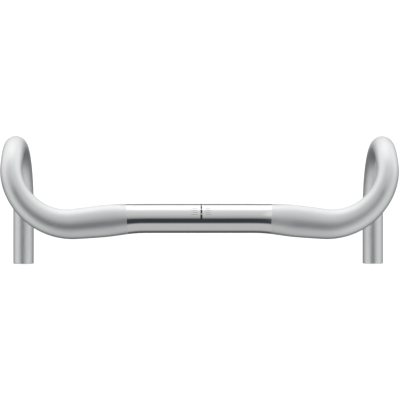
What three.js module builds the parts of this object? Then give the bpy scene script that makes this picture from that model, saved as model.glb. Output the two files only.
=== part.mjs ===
// Drop handlebar: one aluminium tube, swollen in the middle for the stem, flattened along the tops,
// bent forward at the shoulders and down and back through the hooks. Millimetres, +X to the rider's
// right, +Y forward, +Z up, with the origin at the middle of the stem clamp.
//
// The tube is held as nine lengths, one for each zone that a rider would name. Each is a hollow solid
// that is open at both ends, and it stops a hair short of the next.

import * as THREE from "three";

// ---- Driving dimensions -------------------------------------------------------------------------

// Stations are distances along the tube's centreline from the middle of the bar.
const SWEEP_START = 50; // the tops start to sweep back
const SWEEP_LENGTH = 50;
const SWEEP_ANGLE = 5.7; // degrees, backwards
const SHOULDER_START = 135; // the bar turns forward
const SHOULDER_RADIUS = 65;
const HOOK_START = 212; // the bar starts to dive
const HOOK_FRONT_RADIUS = 53; // from level to straight down
const HOOK_REAR_RADIUS = 72; // from straight down to level again
const DROP_LENGTH = 63; // straight grip at the end

const CLAMP_RADIUS = 15.9; // 31.8 mm stem clamp
const GRIP_RADIUS = 11.9; // 23.8 mm from the hoods to the ends
const SWELL_START = 62; // the round clamp section starts to flatten
const SWELL_END = 106; // the tops are widest here
const TAPER_START = 90; // the tube starts to slim
const TAPER_END = 250; // and is round again
const TOP_WIDENING = 1.75; // added to the half width, front to back
const TOP_FLATTENING = 2.4; // taken from the half height

const POLISH_END = 78; // the polished clamp section ends
const SEAM_GAP = 0.3; // between neighbouring lengths

const CLAMP_WALL = 2;
const GRIP_WALL = 1.5;
const END_CHAMFER = 0.5; // on the outer rim of each cut end

const SIDES = 24; // flats round the tube
const WALK_STEP = 0.5; // for following the centreline

// ---- The centreline -----------------------------------------------------------------------------

const HOOK_FRONT_LENGTH = (HOOK_FRONT_RADIUS * Math.PI) / 2;
const HOOK_REAR_LENGTH = (HOOK_REAR_RADIUS * Math.PI) / 2;
const SHOULDER_TURN = THREE.MathUtils.degToRad(90 + SWEEP_ANGLE);
const SHOULDER_END = SHOULDER_START + SHOULDER_RADIUS * SHOULDER_TURN;
const HOOK_END = HOOK_START + HOOK_FRONT_LENGTH + HOOK_REAR_LENGTH;
const TUBE_END = HOOK_END + DROP_LENGTH;

// How much of a bend that starts at a station is done: 0 before it, 1 after it.
const share = (station, start, length) => THREE.MathUtils.clamp((station - start) / length, 0, 1);

// The tube's direction seen from above, in radians from +X towards +Y.
function heading(station) {
  const sweep = THREE.MathUtils.smoothstep(station, SWEEP_START, SWEEP_START + SWEEP_LENGTH);
  const turn = share(station, SHOULDER_START, SHOULDER_RADIUS * SHOULDER_TURN);
  return SHOULDER_TURN * turn - THREE.MathUtils.degToRad(SWEEP_ANGLE) * sweep;
}

// How far the tube points down, in radians: half a turn over the whole hook.
function dive(station) {
  const front = share(station, HOOK_START, HOOK_FRONT_LENGTH);
  const rear = share(station, HOOK_START + HOOK_FRONT_LENGTH, HOOK_REAR_LENGTH);
  return ((front + rear) * Math.PI) / 2;
}

function direction(station) {
  const plan = heading(station);
  const down = dive(station);
  const level = Math.cos(down);
  return new THREE.Vector3(level * Math.cos(plan), level * Math.sin(plan), -Math.sin(down));
}

// The right half's centreline, walked outwards from the clamp in small steps.
class BarCentreline {
  constructor() {
    this.points = [new THREE.Vector3(0, 0, 0)];
    for (let station = 0; station < TUBE_END; station += WALK_STEP) {
      const last = this.points[this.points.length - 1];
      this.points.push(last.clone().addScaledVector(direction(station + WALK_STEP / 2), WALK_STEP));
    }
  }

  at(station) {
    const index = Math.min(Math.floor(station / WALK_STEP), this.points.length - 2);
    const part = station / WALK_STEP - index;
    return this.points[index].clone().lerp(this.points[index + 1], part);
  }
}

const centreline = new BarCentreline();

// ---- The section --------------------------------------------------------------------------------

function swellAndTaper(station) {
  const swell = THREE.MathUtils.smoothstep(station, SWELL_START, SWELL_END);
  const taper = THREE.MathUtils.smoothstep(station, TAPER_START, TAPER_END);
  return { swell, taper };
}

// Half the tube's width, front to back on the tops.
function halfWidth(station) {
  const { swell, taper } = swellAndTaper(station);
  return CLAMP_RADIUS + TOP_WIDENING * swell - (CLAMP_RADIUS + TOP_WIDENING - GRIP_RADIUS) * taper;
}

// Half the tube's height.
function halfHeight(station) {
  const { swell, taper } = swellAndTaper(station);
  return CLAMP_RADIUS - TOP_FLATTENING * swell - (CLAMP_RADIUS - TOP_FLATTENING - GRIP_RADIUS) * taper;
}

function wall(station) {
  const { taper } = swellAndTaper(station);
  return THREE.MathUtils.lerp(CLAMP_WALL, GRIP_WALL, taper);
}

// One ring of points round the centreline, with its half width and half height reduced by an inset.
// A negative station is on the left half, which mirrors the right.
function ring(station, inset) {
  const distance = Math.abs(station);
  const side = station < 0 ? -1 : 1;
  const centre = centreline.at(distance);
  const along = direction(distance);
  const plan = heading(distance);
  const across = new THREE.Vector3(-Math.sin(plan), Math.cos(plan), 0);
  const above = along.clone().cross(across);
  const points = [];
  for (let i = 0; i < SIDES; i += 1) {
    const angle = (2 * Math.PI * i) / SIDES;
    const point = centre
      .clone()
      .addScaledVector(across, (halfWidth(distance) - inset) * Math.cos(angle))
      .addScaledVector(above, (halfHeight(distance) - inset) * Math.sin(angle));
    point.x *= side;
    points.push(point);
  }
  return points;
}

// ---- Lengths of tube ----------------------------------------------------------------------------

// The closed solid through a list of rings: each ring joins the next, and the last joins the first.
function solidOfRings(rings) {
  const positions = rings.flatMap((points) => points.flatMap((point) => point.toArray()));
  const indices = [];
  for (let r = 0; r < rings.length; r += 1) {
    const here = r * SIDES;
    const next = ((r + 1) % rings.length) * SIDES;
    for (let i = 0; i < SIDES; i += 1) {
      const j = (i + 1) % SIDES;
      indices.push(here + i, here + j, next + j);
      indices.push(here + i, next + j, next + i);
    }
  }
  const geometry = new THREE.BufferGeometry();
  geometry.setAttribute("position", new THREE.Float32BufferAttribute(positions, 3));
  geometry.setIndex(indices);
  geometry.computeVertexNormals();
  return geometry;
}

// A hollow length of tube from one station to another: down the outside, back up the bore.
function tubeLength(from, to, steps, chamfer = 0) {
  const stations = Array.from({ length: steps + 1 }, (_, i) => from + ((to - from) * i) / steps);
  const outside = stations.map((station) => ring(station, 0));
  if (chamfer > 0) {
    outside[steps] = ring(to - chamfer, 0);
    outside.push(ring(to, chamfer));
  }
  const bore = stations.map((station) => ring(station, wall(Math.abs(station))));
  return solidOfRings([...outside, ...bore.reverse()]);
}

// The same length on the left half, turned so that its faces still point out.
function mirrored(geometry) {
  const copy = geometry.clone().scale(-1, 1, 1);
  const index = copy.getIndex().array;
  for (let i = 0; i < index.length; i += 3) {
    [index[i + 1], index[i + 2]] = [index[i + 2], index[i + 1]];
  }
  copy.computeVertexNormals();
  return copy;
}

// ---- The bar ------------------------------------------------------------------------------------

function polishedAluminium() {
  return new THREE.MeshStandardMaterial({ color: 0xd6d8db, metalness: 1, roughness: 0.12 });
}

function satinAluminium() {
  return new THREE.MeshStandardMaterial({ color: 0xc4c6c8, metalness: 1, roughness: 0.42 });
}

function named(name, geometry, material) {
  const mesh = new THREE.Mesh(geometry, material);
  mesh.name = name;
  return mesh;
}

// The zones of one half, from the clamp outwards: where each ends and in how many steps it is made.
const ZONES = [
  { name: "top", end: SHOULDER_START, steps: 5 },
  { name: "shoulder", end: SHOULDER_END, steps: 10 },
  { name: "hook", end: HOOK_END, steps: 16 },
  { name: "drop", end: TUBE_END, steps: 2, chamfer: END_CHAMFER },
];
const CLAMP_STEPS = 16;

function handlebar() {
  const bar = new THREE.Group();
  bar.name = "drop_handlebar";
  const clamp = tubeLength(-POLISH_END, POLISH_END, CLAMP_STEPS);
  bar.add(named("clamp_section", clamp, polishedAluminium()));
  let start = POLISH_END;
  for (const zone of ZONES) {
    const length = tubeLength(start + SEAM_GAP, zone.end, zone.steps, zone.chamfer);
    bar.add(named(`right_${zone.name}`, length, satinAluminium()));
    bar.add(named(`left_${zone.name}`, mirrored(length), satinAluminium()));
    start = zone.end;
  }
  return bar;
}

export default handlebar();
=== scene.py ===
"""A bare aluminium drop handlebar, photographed from above in a white studio.

The bar is one tube, so it is built here as one smooth surface in three lengths that meet without a
gap: the polished clamp section and a satin half on either side. It follows the same rule as the CAD
frame, and check_against_frame() stops the script if the two differ by more than a millimetre.
"""

import math

import bpy
import numpy as np
from mathutils import Matrix, Vector


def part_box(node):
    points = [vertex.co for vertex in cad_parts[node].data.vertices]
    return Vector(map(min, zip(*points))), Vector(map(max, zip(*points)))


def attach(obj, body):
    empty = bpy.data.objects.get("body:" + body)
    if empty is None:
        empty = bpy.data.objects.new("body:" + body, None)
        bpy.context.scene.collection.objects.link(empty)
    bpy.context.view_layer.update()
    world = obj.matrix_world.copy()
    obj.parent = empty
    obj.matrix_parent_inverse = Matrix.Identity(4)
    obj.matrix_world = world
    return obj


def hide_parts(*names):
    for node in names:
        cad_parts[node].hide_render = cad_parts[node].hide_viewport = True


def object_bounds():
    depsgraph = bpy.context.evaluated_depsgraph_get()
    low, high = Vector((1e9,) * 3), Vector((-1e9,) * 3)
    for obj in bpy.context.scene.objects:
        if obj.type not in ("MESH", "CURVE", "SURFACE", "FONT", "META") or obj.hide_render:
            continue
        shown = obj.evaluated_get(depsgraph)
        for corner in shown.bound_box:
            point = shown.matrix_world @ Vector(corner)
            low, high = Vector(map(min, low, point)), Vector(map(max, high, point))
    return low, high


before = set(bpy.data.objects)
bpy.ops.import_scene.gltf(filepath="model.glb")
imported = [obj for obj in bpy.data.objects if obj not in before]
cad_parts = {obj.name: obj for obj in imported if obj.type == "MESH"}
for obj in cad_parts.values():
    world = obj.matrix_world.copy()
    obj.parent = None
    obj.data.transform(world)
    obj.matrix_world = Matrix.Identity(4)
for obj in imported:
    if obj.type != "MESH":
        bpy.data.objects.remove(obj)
cad_low, cad_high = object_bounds()

MM = 0.001

# ---- The bar's driving dimensions ---------------------------------------------------------------

# From the frame: the radii of the round clamp section and of the round grips.
clamp_low, clamp_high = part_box("clamp_section")
drop_low, drop_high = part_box("right_drop")
CLAMP_RADIUS = clamp_high.z
GRIP_RADIUS = (drop_high.z - drop_low.z) / 2

# Stations are distances along the centreline from the middle of the bar.
SWEEP_START = 50 * MM  # the tops start to sweep back
SWEEP_LENGTH = 50 * MM
SWEEP_ANGLE = math.radians(5.7)
POLISH_END = 78 * MM
POLISH_SHIFT = -1 * MM  # the polish was masked off a little to the left
SHOULDER_START = 135 * MM  # the bar turns forward
SHOULDER_RADIUS = 65 * MM
HOOK_START = 212 * MM  # the bar starts to dive
HOOK_FRONT_RADIUS = 53 * MM  # from level to straight down
HOOK_REAR_RADIUS = 72 * MM  # from straight down to level again
DROP_LENGTH = 63 * MM  # straight grip at the end

SWELL_START = 62 * MM  # the round clamp section starts to flatten
SWELL_END = 106 * MM  # the tops are fully flattened
TAPER_START = 90 * MM  # the tube starts to slim
TAPER_END = 250 * MM  # and is round again
TOP_WIDENING = 1.75 * MM  # added to the half width, front to back
TOP_FLATTENING = 2.4 * MM  # taken from the half height
CLAMP_WALL = 2.0 * MM
GRIP_WALL = 1.5 * MM

SHOULDER_TURN = math.pi / 2 + SWEEP_ANGLE
SHOULDER_LENGTH = SHOULDER_RADIUS * SHOULDER_TURN
SHOULDER_END = SHOULDER_START + SHOULDER_LENGTH
HOOK_FRONT_LENGTH = HOOK_FRONT_RADIUS * math.pi / 2
HOOK_REAR_LENGTH = HOOK_REAR_RADIUS * math.pi / 2
HOOK_END = HOOK_START + HOOK_FRONT_LENGTH + HOOK_REAR_LENGTH
TUBE_END = HOOK_END + DROP_LENGTH

# ---- The centreline and the section -------------------------------------------------------------

WALK_STEP = 0.25 * MM  # for following the centreline


def share(station, start, length):
    """How much of a bend that starts at a station is done: 0 before it, 1 after it."""
    return np.clip((station - start) / length, 0, 1)


def smooth(station, start, end):
    """The same share, with a gentle start and a gentle end."""
    t = share(station, start, end - start)
    return t * t * (3 - 2 * t)


def heading(station):
    """The tube's direction seen from above, in radians from +X towards +Y."""
    sweep = smooth(station, SWEEP_START, SWEEP_START + SWEEP_LENGTH)
    turn = share(station, SHOULDER_START, SHOULDER_LENGTH)
    return SHOULDER_TURN * turn - SWEEP_ANGLE * sweep


def dive(station):
    """How far the tube points down, in radians: half a turn over the whole hook."""
    front = share(station, HOOK_START, HOOK_FRONT_LENGTH)
    rear = share(station, HOOK_START + HOOK_FRONT_LENGTH, HOOK_REAR_LENGTH)
    return (front + rear) * math.pi / 2


def direction(station):
    plan, down = heading(station), dive(station)
    parts = (np.cos(down) * np.cos(plan), np.cos(down) * np.sin(plan), -np.sin(down))
    return np.stack(parts, axis=-1)


walk_stations = np.arange(0, TUBE_END + WALK_STEP, WALK_STEP)
walk_steps = direction(walk_stations[:-1] + WALK_STEP / 2) * WALK_STEP
walk_points = np.vstack([np.zeros(3), np.cumsum(walk_steps, axis=0)])


def centre(station):
    """A point of the right half's centreline."""
    parts = [np.interp(station, walk_stations, walk_points[:, axis]) for axis in range(3)]
    return np.stack(parts, axis=-1)


def half_size(station, change):
    """Half the tube's width or height: the clamp's, changed on the tops, then down to the grip's."""
    swell = smooth(station, SWELL_START, SWELL_END)
    taper = smooth(station, TAPER_START, TAPER_END)
    return CLAMP_RADIUS + change * swell - (CLAMP_RADIUS + change - GRIP_RADIUS) * taper


def wall(station):
    return CLAMP_WALL + (GRIP_WALL - CLAMP_WALL) * smooth(station, TAPER_START, TAPER_END)


def surface_points(stations, angles, inset):
    """Points on the tube's surface, moved in by an inset. A negative station is on the left half,
    which mirrors the right. The angle runs from the front of the tops (0) over the top."""
    distance = np.abs(stations)
    plan = heading(distance)
    along = direction(distance)
    across = np.stack([-np.sin(plan), np.cos(plan), np.zeros_like(plan)], axis=-1)
    above = np.cross(along, across)
    wide = (half_size(distance, TOP_WIDENING) - inset) * np.cos(angles)
    high = (half_size(distance, -TOP_FLATTENING) - inset) * np.sin(angles)
    points = centre(distance) + across * wide[..., None] + above * high[..., None]
    points[..., 0] *= np.where(stations < 0, -1, 1)
    return points


# ---- Lengths of tube ----------------------------------------------------------------------------

SIDES = 96  # flats round the tube, shaded smooth
RING_SPACING = 2 * MM
SHARP_ANGLE = math.radians(40)

# The rounded edges of a cut end, in millimetres: how far each ring is back from the cut, and how
# deep it lies in the wall, counted from the outside on the outer edge and from the bore on the other.
END_OUTER_EDGE = [(0.75, 0.0), (0.55, 0.03), (0.38, 0.13), (0.14, 0.36), (0.04, 0.5), (0.0, 0.66)]
END_BORE_EDGE = [(0.0, 0.36), (0.03, 0.22), (0.1, 0.1), (0.24, 0.02), (0.4, 0.0)]

CHECK_STATIONS = 200
CHECK_ANGLES = 49
CHECK_TOLERANCE = 1.0 * MM


def mesh_object(name, vertices, faces):
    mesh = bpy.data.meshes.new(name)
    mesh.from_pydata(vertices.tolist(), [], faces.tolist())
    mesh.polygons.foreach_set("use_smooth", np.ones(len(mesh.polygons), dtype=bool))
    mesh.set_sharp_from_angle(angle=SHARP_ANGLE)
    mesh.update()
    obj = bpy.data.objects.new(name, mesh)
    bpy.context.scene.collection.objects.link(obj)
    return obj


def tube(name, start, end, cut_end):
    """A hollow length of the bar between two stations, open at both ends: down the outside, back up
    the bore. The station grows outwards on the right and, as the left half is a mirror, falls
    outwards on the left."""
    count = round(abs(end - start) / RING_SPACING)
    spread = np.linspace(start, end, count + 1)
    edge = []
    if cut_end:
        outward = math.copysign(MM, end)  # one millimetre towards the cut
        thickness = wall(abs(end))
        reach = max(back for back, _ in END_OUTER_EDGE) * MM
        spread = spread[np.abs(spread - end) > reach]
        edge += [(end - outward * back, depth * MM) for back, depth in END_OUTER_EDGE]
        edge += [(end - outward * back, thickness - depth * MM) for back, depth in END_BORE_EDGE]
    outside = [(station, 0.0) for station in spread]
    bore = [(station, wall(abs(station))) for station in spread[::-1]]
    rows = np.array(outside + edge + bore)
    angles = np.linspace(0, 2 * math.pi, SIDES, endpoint=False)
    stations = np.repeat(rows[:, :1], SIDES, axis=1)
    insets = np.repeat(rows[:, 1:], SIDES, axis=1)
    vertices = surface_points(stations, np.broadcast_to(angles, stations.shape), insets)
    here = np.arange(len(rows) * SIDES).reshape(len(rows), SIDES)
    ahead = np.roll(here, -1, axis=0)
    corners = [here, np.roll(here, -1, axis=1), np.roll(ahead, -1, axis=1), ahead]
    faces = np.stack(corners, axis=-1).reshape(-1, 4)
    if end < start:
        faces = faces[:, ::-1]
    return mesh_object(name, vertices.reshape(-1, 3), faces)


def check_against_frame():
    """The right shoulder, hook and drop of the CAD bar have to fill the same boxes as the same
    stretches of this one."""
    zones = [
        ("shoulder", SHOULDER_START, SHOULDER_END),
        ("hook", SHOULDER_END, HOOK_END),
        ("drop", HOOK_END, TUBE_END),
    ]
    angles = np.linspace(0, 2 * math.pi, CHECK_ANGLES)
    for zone, start, end in zones:
        stations, turns = np.meshgrid(np.linspace(start, end, CHECK_STATIONS), angles)
        points = surface_points(stations, turns, 0.0).reshape(-1, 3)
        low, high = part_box(f"right_{zone}")
        apart = max(np.abs(points.min(0) - low).max(), np.abs(points.max(0) - high).max())
        if apart > CHECK_TOLERANCE:
            raise ValueError(f"right_{zone} is {apart / MM:.2f} mm away from the CAD frame")


# ---- Printed marks ------------------------------------------------------------------------------

# The ink's top is just above the metal and its underside just below. An arc is a length round the
# clamp section, forwards from its top line.
INK_PROUD = 0.02 * MM
INK_SUNK = 0.03 * MM
INK_STEP = 0.2 * MM
CENTRE_LINE_SHIFT = 1.3 * MM  # to the right of the middle

DASH_COUNT = 5
FIRST_DASH_ARC = -0.5 * MM
DASH_PITCH = 5.9 * MM
DASH_LENGTH = 5.0 * MM
DASH_WIDTH = 2.2 * MM
DASH_THINNING = 0.35 * MM  # from one dash to the next

TICK_COUNT = 4
FIRST_TICK_ARC = 4.25 * MM
TICK_PITCH = 2.45 * MM
TICK_LENGTHS = (6.8 * MM, 5.4 * MM)  # in turn
TICK_THICKNESS = 0.3 * MM
TICK_GAP = 4.2 * MM  # from the centre line


def print_patch(x_low, x_high, arc_low, arc_high):
    """A strip of ink on the round clamp section, from one arc to another: a thin closed box, bent to
    the tube. Returns its vertices and faces."""
    columns = max(2, round((arc_high - arc_low) / INK_STEP))
    angles = math.pi / 2 - np.linspace(arc_low, arc_high, columns + 1) / CLAMP_RADIUS
    outer, inner = CLAMP_RADIUS + INK_PROUD, CLAMP_RADIUS - INK_SUNK
    section = [(x_low, outer), (x_high, outer), (x_high, inner), (x_low, inner)]
    vertices = []
    for angle in angles:
        vertices += [(x, radius * math.cos(angle), radius * math.sin(angle)) for x, radius in section]
    last = 4 * columns
    faces = [(0, 3, 2, 1), (last, last + 1, last + 2, last + 3)]
    for here in range(0, last, 4):
        for k in range(4):
            ahead = (k + 1) % 4
            faces.append((here + k, here + ahead, here + 4 + ahead, here + 4 + k))
    return vertices, faces


def centre_marks(name, patches):
    """Several strips of ink as one object."""
    vertices, faces = [], []
    for patch in patches:
        new_vertices, new_faces = print_patch(*patch)
        faces += [tuple(len(vertices) + k for k in face) for face in new_faces]
        vertices += new_vertices
    return mesh_object(name, np.array(vertices), np.array(faces))


def centre_line_patches():
    """A dashed line that runs forward from the top and grows thinner from dash to dash."""
    for i in range(DASH_COUNT):
        start = FIRST_DASH_ARC + i * DASH_PITCH
        half = (DASH_WIDTH - i * DASH_THINNING) / 2
        yield (CENTRE_LINE_SHIFT - half, CENTRE_LINE_SHIFT + half, start, start + DASH_LENGTH)


def tick_patches():
    """Short lines along the bar on either side of the dashed line, long and short in turn."""
    for i in range(TICK_COUNT):
        arc = FIRST_TICK_ARC + i * TICK_PITCH
        length = TICK_LENGTHS[i % 2]
        for side in (-1, 1):
            near = CENTRE_LINE_SHIFT + side * TICK_GAP
            far = near + side * length
            yield (min(near, far), max(near, far), arc, arc + TICK_THICKNESS)


# ---- Node trees ---------------------------------------------------------------------------------


def rgba(value):
    """A grey value, or a colour, as four numbers."""
    if isinstance(value, (int, float)):
        return (value, value, value, 1)
    return (*value, 1)


class Nodes:
    """A short hand for building one node tree."""

    def __init__(self, tree):
        self.tree = tree
        tree.nodes.clear()

    def add(self, kind, **settings):
        node = self.tree.nodes.new(kind)
        for key, value in settings.items():
            setattr(node, key, value)
        return node

    def feed(self, socket, value):
        """Link a socket to another one's value, or set it, or with None leave it as it is."""
        if isinstance(value, bpy.types.NodeSocket):
            self.tree.links.new(value, socket)
        elif value is not None:
            socket.default_value = value

    def output(self, kind, shader):
        self.feed(self.add(kind).inputs["Surface"], shader.outputs[0])

    def math(self, operation, a, b=None, c=None):
        node = self.add("ShaderNodeMath", operation=operation)
        for socket, value in zip(node.inputs, (a, b, c)):
            self.feed(socket, value)
        return node.outputs[0]

    def blend(self, *parts):
        """The sum of several values, each with its weight."""
        total = 0.0
        for value, weight in parts:
            total = self.math("MULTIPLY_ADD", value, weight, total)
        return total

    def rescale(self, value, low, high, to_low, to_high):
        node = self.add("ShaderNodeMapRange", interpolation_type="SMOOTHSTEP")
        for socket, each in zip(node.inputs, (value, low, high, to_low, to_high)):
            self.feed(socket, each)
        return node.outputs[0]

    def window(self, value, start, whole, end, gone):
        """1 between whole and end, falling to 0 at start and gone."""
        rise = self.rescale(value, start, whole, 0, 1)
        fall = self.rescale(value, end, gone, 1, 0)
        return self.math("MULTIPLY", rise, fall)

    def object_place(self, stretch=(1, 1, 1)):
        place = self.add("ShaderNodeTexCoord").outputs["Object"]
        mapping = self.add("ShaderNodeMapping")
        self.feed(mapping.inputs["Vector"], place)
        self.feed(mapping.inputs["Scale"], stretch)
        return mapping.outputs[0]

    def noise(self, place, per_metre, detail):
        node = self.add("ShaderNodeTexNoise")
        self.feed(node.inputs["Vector"], place)
        self.feed(node.inputs["Scale"], per_metre)
        self.feed(node.inputs["Detail"], detail)
        return node.outputs["Fac"]

    def ramp(self, factor, stops):
        node = self.add("ShaderNodeValToRGB")
        self.feed(node.inputs[0], factor)
        elements = node.color_ramp.elements
        while len(elements) > 1:
            elements.remove(elements[-1])
        elements[0].position, elements[0].color = stops[0][0], rgba(stops[0][1])
        for position, value in stops[1:]:
            elements.new(position).color = rgba(value)
        return node.outputs[0]

    def bump(self, height, depth):
        node = self.add("ShaderNodeBump")
        self.feed(node.inputs["Strength"], 1.0)
        self.feed(node.inputs["Distance"], depth)
        self.feed(node.inputs["Height"], height)
        return node.outputs[0]

    def mix_colour(self, factor, a, b):
        node = self.add("ShaderNodeMix", data_type="RGBA")
        self.feed(node.inputs["Factor"], factor)
        self.feed(node.inputs["A"], a)
        self.feed(node.inputs["B"], b)
        return node.outputs["Result"]


def new_material(name):
    material = bpy.data.materials.new(name)
    material.use_nodes = True
    return material, Nodes(material.node_tree)


# ---- Materials ----------------------------------------------------------------------------------

# Most of a noise's values lie between these two.
NOISE_LOW = 0.3
NOISE_HIGH = 0.7

# How fine each texture is, as the scale of its noise per metre.
CLOUDS = 22
MOTTLE = 260
PITS = 900
GRAIN = 2600
HAIRLINES = 4200
WIPES = 260
INK_PATCHES = 1800

# Hairlines and wipes are drawn out along the bar.
HAIRLINE_STRETCH = (0.02, 1, 1)
WIPE_STRETCH = (0.25, 1, 1)

# Each finish runs from a darker to a lighter colour and from one roughness to another.
SATIN_COLOURS = ((0.81, 0.825, 0.83), (0.91, 0.925, 0.93))
SATIN_ROUGHNESS = (0.41, 0.36)
SATIN_RELIEF = 0.08 * MM
POLISH_COLOURS = ((0.90, 0.905, 0.91), (0.95, 0.95, 0.955))
POLISH_ROUGHNESS = (0.07, 0.13)
POLISH_RELIEF = 0.0012 * MM
DARK_INK_COLOURS = (0.015, 0.04)
GREY_INK_COLOURS = (0.18, 0.30)
INK_ROUGHNESS = (0.35, 0.5)


def surface_material(name):
    """A new material with a principled shader: the material, its nodes and the shader's inputs."""
    material, nodes = new_material(name)
    shader = nodes.add("ShaderNodeBsdfPrincipled")
    nodes.output("ShaderNodeOutputMaterial", shader)
    return material, nodes, shader.inputs


def satin_aluminium():
    """Bead-blasted and clear-anodised: an even, slightly cloudy silver with a very fine grain."""
    material, nodes, inputs = surface_material("satin_aluminium")
    place = nodes.object_place()
    clouds = nodes.noise(place, CLOUDS, detail=3)
    mottle = nodes.noise(place, MOTTLE, detail=3)
    grain = nodes.noise(place, GRAIN, detail=2)
    pits = nodes.noise(place, PITS, detail=1)
    tone = nodes.blend((clouds, 0.4), (mottle, 0.35), (grain, 0.25))
    dark, light = SATIN_COLOURS
    nodes.feed(inputs["Base Color"], nodes.mix_colour(tone, rgba(dark), rgba(light)))
    nodes.feed(inputs["Metallic"], 1.0)
    nodes.feed(inputs["Roughness"], nodes.rescale(tone, NOISE_LOW, NOISE_HIGH, *SATIN_ROUGHNESS))
    height = nodes.blend((grain, 0.6), (pits, 0.4))
    nodes.feed(inputs["Normal"], nodes.bump(height, SATIN_RELIEF))
    return material


def polished_aluminium():
    """Bare and buffed along the bar, with hairlines and a few wipe marks."""
    material, nodes, inputs = surface_material("polished_aluminium")
    lines = nodes.noise(nodes.object_place(HAIRLINE_STRETCH), HAIRLINES, detail=2)
    wipes = nodes.noise(nodes.object_place(WIPE_STRETCH), WIPES, detail=3)
    dark, light = POLISH_COLOURS
    nodes.feed(inputs["Base Color"], nodes.mix_colour(lines, rgba(dark), rgba(light)))
    nodes.feed(inputs["Metallic"], 1.0)
    wear = nodes.blend((lines, 0.5), (wipes, 0.5))
    nodes.feed(inputs["Roughness"], nodes.rescale(wear, NOISE_LOW, NOISE_HIGH, *POLISH_ROUGHNESS))
    nodes.feed(inputs["Normal"], nodes.bump(lines, POLISH_RELIEF))
    return material


def printing_ink(name, dark, light):
    """Thin pad-printed ink, a little patchy."""
    material, nodes, inputs = surface_material(name)
    patchy = nodes.noise(nodes.object_place(), INK_PATCHES, detail=2)
    nodes.feed(inputs["Base Color"], nodes.mix_colour(patchy, rgba(dark), rgba(light)))
    nodes.feed(inputs["Roughness"], nodes.rescale(patchy, NOISE_LOW, NOISE_HIGH, *INK_ROUGHNESS))
    return material


# ---- The studio ---------------------------------------------------------------------------------

# The camera looks down from about 1.5 m above the clamp.
CAMERA_PLACE = Vector((-0.0211, 0.0200, 1.4835))
CAMERA_AIM = Vector((0.0, 0.0200, 0.0))
CAMERA_LENS = 122.74
SENSOR_WIDTH = 36.0
CLIP_START = 0.01
CLIP_END = 50

BACKDROP = 1.0
FLOOR_SIZE = 12.0
FLOOR_DROP = 0.0002
FLOOR_COLOUR = 0.6
FLOOR_GLOW = 0.80

# The overhead lights, by the angle from straight up, forwards positive: a rear softbox, the dark
# gap that the camera looks through, a front softbox and the white wall that it lights.
GAP = (0.034, 0.042, 0.047)
OVERHEAD = [
    (-180, 0.15), (-155, 0.08), (-122, 0.11), (-102, 0.49), (-45, 0.50), (-32, GAP), (-4, GAP),
    (3, 0.26), (12, 0.41), (28, 0.54), (60, 0.67), (79, 1.12), (113, 1.12), (150, 0.85),
    (180, 0.30),
]
# The room on either side of them, by the angle from straight up: its front half, with the lit white
# wall, and its dimmer rear half.
ROOM_FRONT = [
    (0, 0.32), (30, 0.44), (45, 0.50), (60, 0.66), (80, 0.94), (120, 1.0), (150, 0.75), (180, 0.25),
]
ROOM_REAR = [
    (0, 0.34), (25, 0.54), (55, 0.72), (78, 0.70), (100, 0.52), (130, 0.18), (155, 0.10), (180, 0.08),
]
# How far forwards a direction points, from -1 to 1, where the rear half gives way to the front half.
FRONT_BLEND = (-0.20, 0.70)
# How far sideways a direction points, from -1 to 1, where the overhead lights give way to the room.
LEFT_BLEND = (-0.30, -0.62)
RIGHT_BLEND = (0.17, 0.34)
# A small softbox in front and to the right, laid over that: where it starts, is whole, starts to end
# and is gone, sideways and by the angle from straight up.
SOFTBOX_LIGHT = 1.0
SOFTBOX_STRENGTH = 0.4
SOFTBOX_SIDEWAYS = (0.12, 0.20, 0.32, 0.50)
SOFTBOX_ANGLES = (12, 30, 50, 75)

# A black card held in front of the clamp, which only the reflections see: it draws the thin dark line
# along the front of the polish.
CARD_HALF_LENGTH = 0.09
CARD_FRONT = 0.066
CARD_TOP = -0.040
CARD_BOTTOM = -0.080
CARD_COLOUR = 0.02
CARD_GLOW = 0.02


def studio_world():
    """The light that the bar sees, by direction only. The camera sees a plain white backdrop."""
    world = bpy.data.worlds.new("studio")
    bpy.context.scene.world = world
    world.use_nodes = True
    nodes = Nodes(world.node_tree)
    split = nodes.add("ShaderNodeSeparateXYZ")
    nodes.feed(split.inputs[0], nodes.add("ShaderNodeTexCoord").outputs["Generated"])
    x, y, z = split.outputs
    turn = nodes.math("DIVIDE", nodes.math("ARCTAN2", y, z), 2 * math.pi)
    overhead_stops = [(0.5 + angle / 360, value) for angle, value in OVERHEAD]
    overhead = nodes.ramp(nodes.math("ADD", turn, 0.5), overhead_stops)
    polar = nodes.math("DIVIDE", nodes.math("ARCCOSINE", z), math.pi)
    front = nodes.ramp(polar, [(angle / 180, value) for angle, value in ROOM_FRONT])
    rear = nodes.ramp(polar, [(angle / 180, value) for angle, value in ROOM_REAR])
    room = nodes.mix_colour(nodes.rescale(y, *FRONT_BLEND, 0, 1), rear, front)
    to_left, to_right = (nodes.rescale(x, *blend, 0, 1) for blend in (LEFT_BLEND, RIGHT_BLEND))
    light = nodes.mix_colour(nodes.math("MAXIMUM", to_left, to_right), overhead, room)
    along = nodes.window(turn, *(angle / 360 for angle in SOFTBOX_ANGLES))
    softbox = nodes.math("MULTIPLY", nodes.window(x, *SOFTBOX_SIDEWAYS), along)
    strength = nodes.math("MULTIPLY", softbox, SOFTBOX_STRENGTH)
    light = nodes.mix_colour(strength, light, rgba(SOFTBOX_LIGHT))
    camera_ray = nodes.add("ShaderNodeLightPath").outputs["Is Camera Ray"]
    background = nodes.add("ShaderNodeBackground")
    nodes.feed(background.inputs["Color"], nodes.mix_colour(camera_ray, light, rgba(BACKDROP)))
    nodes.output("ShaderNodeOutputWorld", background)


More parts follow.
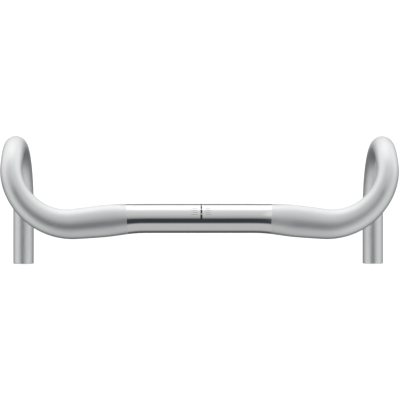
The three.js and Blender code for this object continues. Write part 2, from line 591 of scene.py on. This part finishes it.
def stage_board(name, corners, colour, glow_strength):
    """A flat, matt board that also glows, as part of the stage."""
    obj = mesh_object(name, np.array(corners), np.array([(0, 1, 2, 3)]))
    material, nodes = new_material(name)
    matte = nodes.add("ShaderNodeBsdfDiffuse")
    nodes.feed(matte.inputs["Color"], rgba(colour))
    glow = nodes.add("ShaderNodeEmission")
    nodes.feed(glow.inputs["Color"], rgba(1.0))
    nodes.feed(glow.inputs["Strength"], glow_strength)
    both = nodes.add("ShaderNodeAddShader")
    nodes.feed(both.inputs[0], matte.outputs[0])
    nodes.feed(both.inputs[1], glow.outputs[0])
    nodes.output("ShaderNodeOutputMaterial", both)
    obj.data.materials.append(material)
    obj.visible_diffuse = False
    return obj


def floor():
    """A plain pale floor just under the bar, lit until it is nearly white."""
    half = FLOOR_SIZE / 2
    height = cad_low.z - FLOOR_DROP
    sides = [(-half, -half), (half, -half), (half, half), (-half, half)]
    corners = [(x, y, height) for x, y in sides]
    board = stage_board("floor", corners, FLOOR_COLOUR, FLOOR_GLOW)
    board.visible_glossy = False


def black_card():
    left, right = -CARD_HALF_LENGTH, CARD_HALF_LENGTH
    sides = [(left, CARD_BOTTOM), (right, CARD_BOTTOM), (right, CARD_TOP), (left, CARD_TOP)]
    corners = [(x, CARD_FRONT, z) for x, z in sides]
    card = stage_board("black_card", corners, CARD_COLOUR, CARD_GLOW)
    card.visible_camera = False
    card.visible_shadow = False


def camera():
    data = bpy.data.cameras.new("camera")
    data.lens = CAMERA_LENS
    data.sensor_width = SENSOR_WIDTH
    data.clip_start = CLIP_START
    data.clip_end = CLIP_END
    obj = bpy.data.objects.new("camera", data)
    obj.location = CAMERA_PLACE
    obj.rotation_mode = "QUATERNION"
    forward = (CAMERA_AIM - CAMERA_PLACE).normalized()
    right = forward.cross(Vector((0, 1, 0))).normalized()
    axes = Matrix((right, right.cross(forward), -forward)).transposed()
    obj.rotation_quaternion = axes.to_quaternion()
    bpy.context.scene.collection.objects.link(obj)
    bpy.context.scene.camera = obj


# ---- The picture --------------------------------------------------------------------------------


def add_piece(obj, material, replaced=()):
    obj.data.materials.append(material)
    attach(obj, "root")
    if replaced:
        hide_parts(*replaced)


camera()
check_against_frame()
bpy.context.scene.view_settings.view_transform = "Standard"

satin = satin_aluminium()
clamp = tube("clamp_polished", POLISH_SHIFT - POLISH_END, POLISH_SHIFT + POLISH_END, cut_end=False)
add_piece(clamp, polished_aluminium(), ["clamp_section"])
for side, sign in (("left", -1), ("right", 1)):
    half = tube(f"{side}_half_satin", POLISH_SHIFT + sign * POLISH_END, sign * TUBE_END, cut_end=True)
    zones = [f"{side}_{zone}" for zone in ("top", "shoulder", "hook", "drop")]
    add_piece(half, satin, zones)

line_ink = printing_ink("dark_ink", *DARK_INK_COLOURS)
tick_ink = printing_ink("grey_ink", *GREY_INK_COLOURS)
add_piece(centre_marks("centre_line", centre_line_patches()), line_ink)
add_piece(centre_marks("angle_ticks", tick_patches()), tick_ink)

studio_world()
floor()
black_card()
